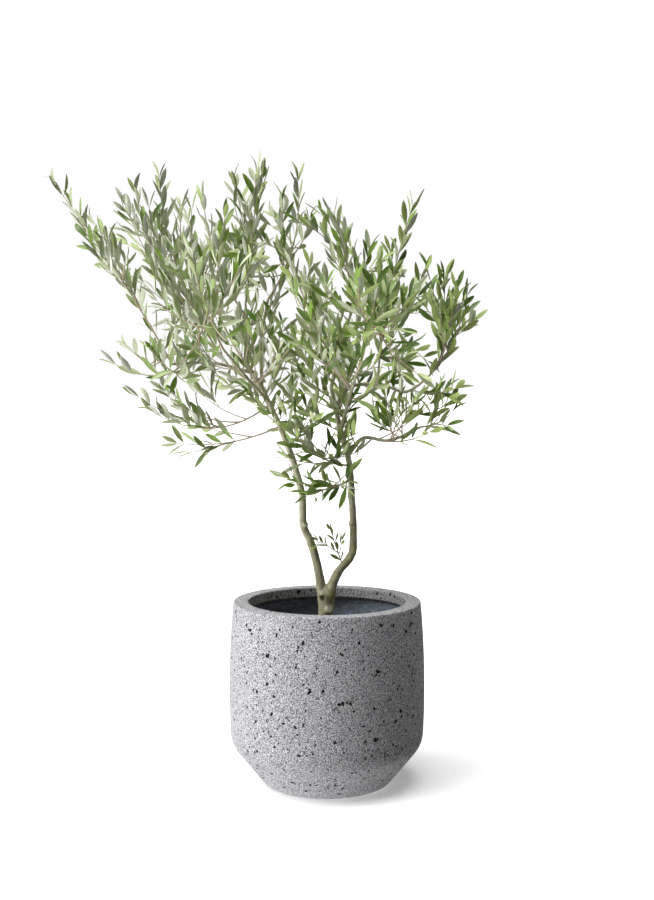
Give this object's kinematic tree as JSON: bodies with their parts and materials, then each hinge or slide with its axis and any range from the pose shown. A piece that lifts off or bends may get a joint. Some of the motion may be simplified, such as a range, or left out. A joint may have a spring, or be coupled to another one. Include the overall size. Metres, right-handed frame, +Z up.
{
  "type": "potted olive tree",
  "caption": "Young olive tree with a forked trunk and an open, leaning crown, growing in a round barrel-shaped stone planter with a slanted foot.",
  "frame": {"origin": "middle of the planter's flat underside, on the floor", "axes": "+Z up; the front is towards -Y, +X is to the right seen from the front, and the crown leans to -X"},
  "size_m": [0.9447, 0.7217, 1.3807],
  "materials": {
    "planter": "matte",
    "soil": "matte",
    "bark": "matte",
    "foliage": "satin"
  },
  "bodies": {
    "root": {"planter": "planter", "soil": "soil", "trunk": "bark", "stem_left": "bark", "stem_right": "bark", "bough_back_left": "bark", "bough_back_right": "bark", "bough_centre_up": "bark", "bough_front_left": "bark", "bough_front_right": "bark", "bough_left_level": "bark", "bough_left_up": "bark", "bough_right_high": "bark", "bough_right_low": "bark", "bough_right_up": "bark", "foliage_back_left": "foliage", "foliage_back_middle": "foliage", "foliage_back_right": "foliage", "foliage_far_left": "foliage", "foliage_fork_shoot": "foliage", "foliage_front_left": "foliage", "foliage_front_middle": "foliage", "foliage_front_right": "foliage", "foliage_heart_left": "foliage", "foliage_heart_right": "foliage", "foliage_left_foot": "foliage", "foliage_left_inner": "foliage", "foliage_left_low": "foliage", "foliage_left_sweep": "foliage", "foliage_left_tall": "foliage", "foliage_middle_cross": "foliage", "foliage_middle_hang": "foliage", "foliage_right_crown": "foliage", "foliage_right_fan": "foliage", "foliage_right_low": "foliage", "foliage_right_tall": "foliage", "foliage_right_under": "foliage", "foliage_top_centre": "foliage", "foliage_top_left": "foliage", "foliage_top_right": "foliage"}
  },
  "joints": []
}
